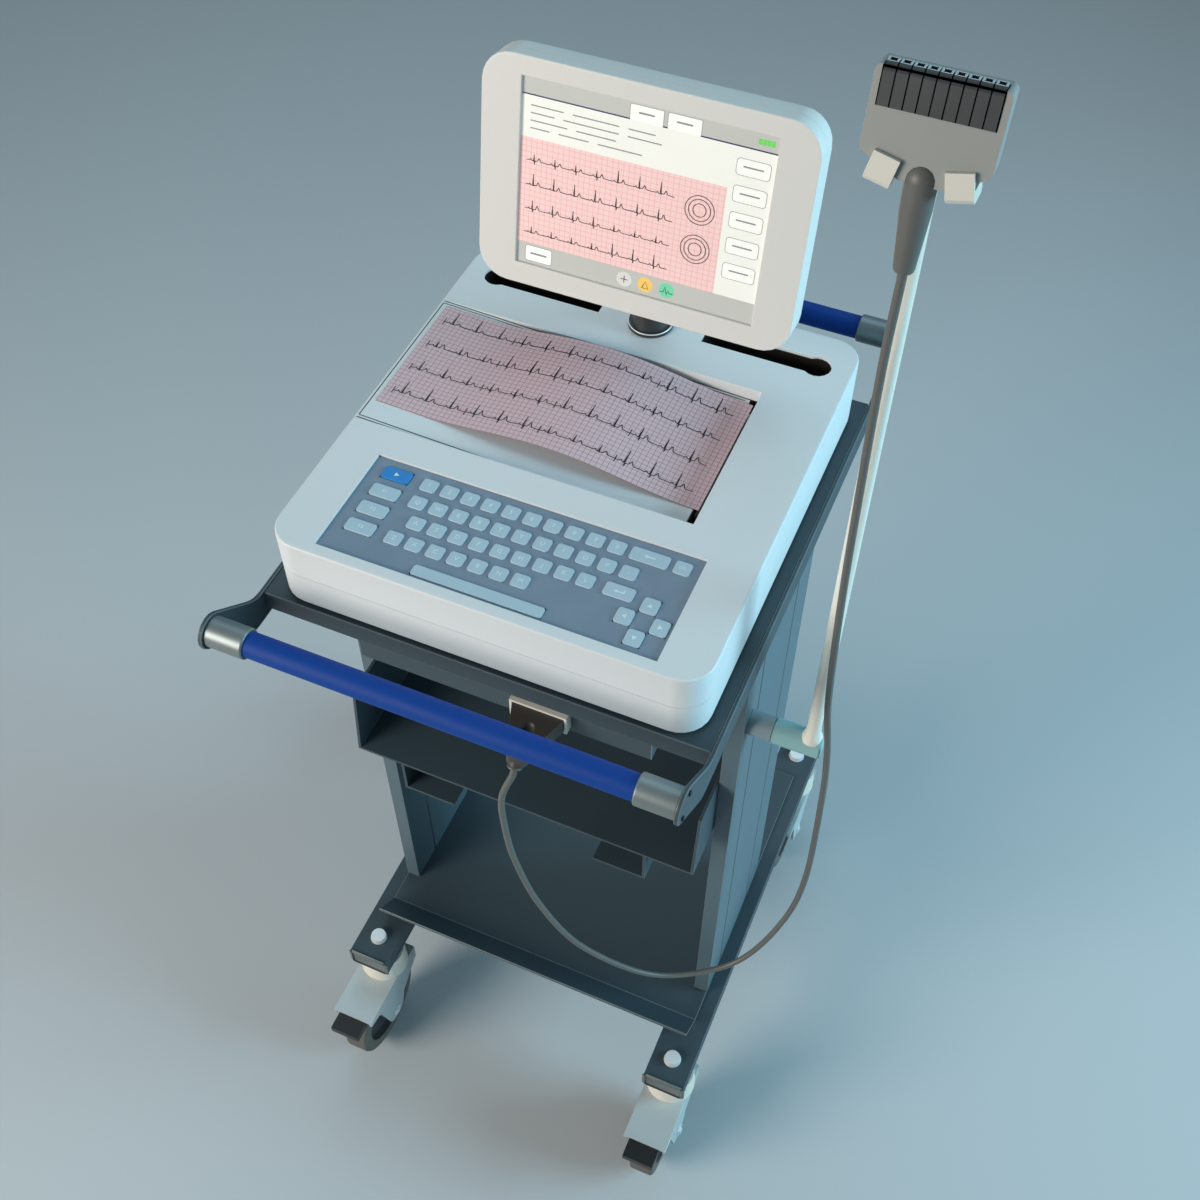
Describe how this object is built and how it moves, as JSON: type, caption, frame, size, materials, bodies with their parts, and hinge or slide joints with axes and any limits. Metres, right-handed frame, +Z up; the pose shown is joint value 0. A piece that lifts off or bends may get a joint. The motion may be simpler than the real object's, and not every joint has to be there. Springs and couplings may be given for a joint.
{
  "type": "ecg machine on a cart",
  "caption": "Electrocardiograph with a tilting display, keyboard and chart writer, on a wheeled cart with handles, a shelf, a cable pole and a lead module.",
  "frame": {"origin": "middle of the footprint box at floor level, with the free cable, its boot and its plug left out", "axes": "+Z up, +X to the user's right, +Y from the user's side towards the back of the display"},
  "size_m": [0.5326, 0.6136, 1.4508],
  "materials": {
    "frame_paint": "slate blue-grey powder coat",
    "grip": "matt blue grip",
    "ferrule": "satin grey",
    "socket_white": "off-white moulding",
    "arm_paint": "pale grey-green paint",
    "pole_paint": "cream paint",
    "module_grey": "mid grey moulding",
    "lead_block": "dark grey moulding",
    "cable_jacket": "dark grey-brown jacket",
    "case_plastic": "off-white satin moulding",
    "key_mat": "blue-grey key mat",
    "key_grey": "pale blue-grey keys",
    "key_blue": "blue key",
    "head_metal": "bare metal",
    "motor_steel": "bare steel",
    "board": "green board",
    "dark_plastic": "near-black moulding",
    "paper": "pink-ruled chart paper",
    "roller_rubber": "black roller",
    "gear_brass": "machined pinion",
    "screen": "lit display behind glass",
    "caster_steel": "zinc-plated pressing",
    "tyre": "dark grey wheel"
  },
  "bodies": {
    "cart": {"left_beam": "frame_paint", "right_beam": "frame_paint", "base_pan": "frame_paint", "left_column": "frame_paint", "right_column": "frame_paint", "shelf_tray": "frame_paint", "top_plate": "frame_paint", "left_side_plate": "frame_paint", "right_side_plate": "frame_paint", "front_handle_tube": "grip", "front_left_ferrule": "ferrule", "front_right_ferrule": "ferrule", "rear_handle_tube": "grip", "rear_left_ferrule": "ferrule", "rear_right_ferrule": "ferrule", "junction_box": "frame_paint", "cable_socket": "socket_white", "cable_plug": "cable_jacket", "cable_arm": "arm_paint", "pole": "pole_paint", "module_case": "module_grey", "lead_connectors": "lead_block", "module_boot": "cable_jacket", "module_cradle": "socket_white", "patient_cable": "cable_jacket", "base_case": "case_plastic", "top_case": "case_plastic", "keypad": "key_mat", "drive_motor": "motor_steel", "print_head": "head_metal", "paper_pack": "paper", "main_board": "board", "battery_pack": "dark_plastic"},
    "door": {"printer_door": "case_plastic", "chart_paper": "paper"},
    "platen": {"platen_roller": "roller_rubber"},
    "pinion": {"motor_pinion": "gear_brass"},
    "neck": {"monitor_neck": "dark_plastic"},
    "screen": {"monitor_rear_shell": "case_plastic", "monitor_bezel": "case_plastic", "display_panel": "screen"},
    "front_left_caster": {"front_left_fork": "caster_steel"},
    "front_left_roll": {"front_left_wheel": "tyre"},
    "front_left_brake": {"front_left_pedal": "dark_plastic"},
    "front_right_caster": {"front_right_fork": "caster_steel"},
    "front_right_roll": {"front_right_wheel": "tyre"},
    "front_right_brake": {"front_right_pedal": "dark_plastic"},
    "rear_left_caster": {"rear_left_fork": "caster_steel"},
    "rear_left_roll": {"rear_left_wheel": "tyre"},
    "rear_right_caster": {"rear_right_fork": "caster_steel"},
    "rear_right_roll": {"rear_right_wheel": "tyre"},
    "blue_key": {"blue_key": "key_blue"},
    "function_key_1": {"function_key_1": "key_grey"},
    "function_key_2": {"function_key_2": "key_grey"},
    "function_key_3": {"function_key_3": "key_grey"},
    "space_bar": {"space_bar": "key_grey"},
    "up_key": {"up_key": "key_grey"},
    "left_key": {"left_key": "key_grey"},
    "right_key": {"right_key": "key_grey"},
    "down_key": {"down_key": "key_grey"}
  },
  "joints": [
    {"name": "monitor_swivel", "type": "hinge", "parent": "cart", "child": "neck", "pos_m": [-0.0381, 0.16321, 0.9745], "axis": [0, 0, 1], "range_deg": [-45, 45]},
    {"name": "monitor_tilt", "type": "hinge", "parent": "neck", "child": "screen", "pos_m": [-0.0381, 0.16321, 1.088], "axis": [-1, 0, 0], "range_deg": [-5, 25]},
    {"name": "door_slide", "type": "slide", "parent": "cart", "child": "door", "axis": [-1, 0, 0], "range_m": [0, 0.12]},
    {"name": "platen_spin", "type": "hinge", "parent": "door", "child": "platen", "pos_m": [0.0734, 0.00621, 0.948], "axis": [0, 1, 0], "continuous": true},
    {"name": "pinion_spin", "type": "hinge", "parent": "cart", "child": "pinion", "pos_m": [0.0871, 0.00621, 0.948], "axis": [0, 1, 0], "continuous": true},
    {"name": "front_left_swivel", "type": "hinge", "parent": "cart", "child": "front_left_caster", "pos_m": [-0.2363, -0.19979, 0], "axis": [0, 0, 1], "continuous": true},
    {"name": "front_left_wheel_spin", "type": "hinge", "parent": "front_left_caster", "child": "front_left_roll", "pos_m": [-0.2363, -0.23179, 0.0625], "axis": [1, 0, 0], "continuous": true},
    {"name": "front_left_brake_press", "type": "hinge", "parent": "front_left_caster", "child": "front_left_brake", "pos_m": [-0.2363, -0.27729, 0.12195], "axis": [1, 0, 0], "range_deg": [0, 12]},
    {"name": "front_right_swivel", "type": "hinge", "parent": "cart", "child": "front_right_caster", "pos_m": [0.1601, -0.19979, 0], "axis": [0, 0, 1], "continuous": true},
    {"name": "front_right_wheel_spin", "type": "hinge", "parent": "front_right_caster", "child": "front_right_roll", "pos_m": [0.1601, -0.23179, 0.0625], "axis": [1, 0, 0], "continuous": true},
    {"name": "front_right_brake_press", "type": "hinge", "parent": "front_right_caster", "child": "front_right_brake", "pos_m": [0.1601, -0.27729, 0.12195], "axis": [1, 0, 0], "range_deg": [0, 12]},
    {"name": "rear_left_swivel", "type": "hinge", "parent": "cart", "child": "rear_left_caster", "pos_m": [-0.2363, 0.26321, 0], "axis": [0, 0, 1], "continuous": true},
    {"name": "rear_left_wheel_spin", "type": "hinge", "parent": "rear_left_caster", "child": "rear_left_roll", "pos_m": [-0.2363, 0.23121, 0.0625], "axis": [1, 0, 0], "continuous": true},
    {"name": "rear_right_swivel", "type": "hinge", "parent": "cart", "child": "rear_right_caster", "pos_m": [0.1601, 0.26321, 0], "axis": [0, 0, 1], "continuous": true},
    {"name": "rear_right_wheel_spin", "type": "hinge", "parent": "rear_right_caster", "child": "rear_right_roll", "pos_m": [0.1601, 0.23121, 0.0625], "axis": [1, 0, 0], "continuous": true},
    {"name": "blue_key_press", "type": "slide", "parent": "cart", "child": "blue_key", "axis": [0, 0, -1], "range_m": [0, 0.001], "stiffness_N_per_m": 300, "springref_m": -0.001},
    {"name": "function_key_1_press", "type": "slide", "parent": "cart", "child": "function_key_1", "axis": [0, 0, -1], "range_m": [0, 0.001], "stiffness_N_per_m": 300, "springref_m": -0.001},
    {"name": "function_key_2_press", "type": "slide", "parent": "cart", "child": "function_key_2", "axis": [0, 0, -1], "range_m": [0, 0.001], "stiffness_N_per_m": 300, "springref_m": -0.001},
    {"name": "function_key_3_press", "type": "slide", "parent": "cart", "child": "function_key_3", "axis": [0, 0, -1], "range_m": [0, 0.001], "stiffness_N_per_m": 300, "springref_m": -0.001},
    {"name": "space_bar_press", "type": "slide", "parent": "cart", "child": "space_bar", "axis": [0, 0, -1], "range_m": [0, 0.001], "stiffness_N_per_m": 300, "springref_m": -0.001},
    {"name": "up_key_press", "type": "slide", "parent": "cart", "child": "up_key", "axis": [0, 0, -1], "range_m": [0, 0.001], "stiffness_N_per_m": 300, "springref_m": -0.001},
    {"name": "left_key_press", "type": "slide", "parent": "cart", "child": "left_key", "axis": [0, 0, -1], "range_m": [0, 0.001], "stiffness_N_per_m": 300, "springref_m": -0.001},
    {"name": "right_key_press", "type": "slide", "parent": "cart", "child": "right_key", "axis": [0, 0, -1], "range_m": [0, 0.001], "stiffness_N_per_m": 300, "springref_m": -0.001},
    {"name": "down_key_press", "type": "slide", "parent": "cart", "child": "down_key", "axis": [0, 0, -1], "range_m": [0, 0.001], "stiffness_N_per_m": 300, "springref_m": -0.001}
  ],
  "couplings": [
    {"joint": "pinion_spin", "follows": "platen_spin", "ratio": -2}
  ]
}
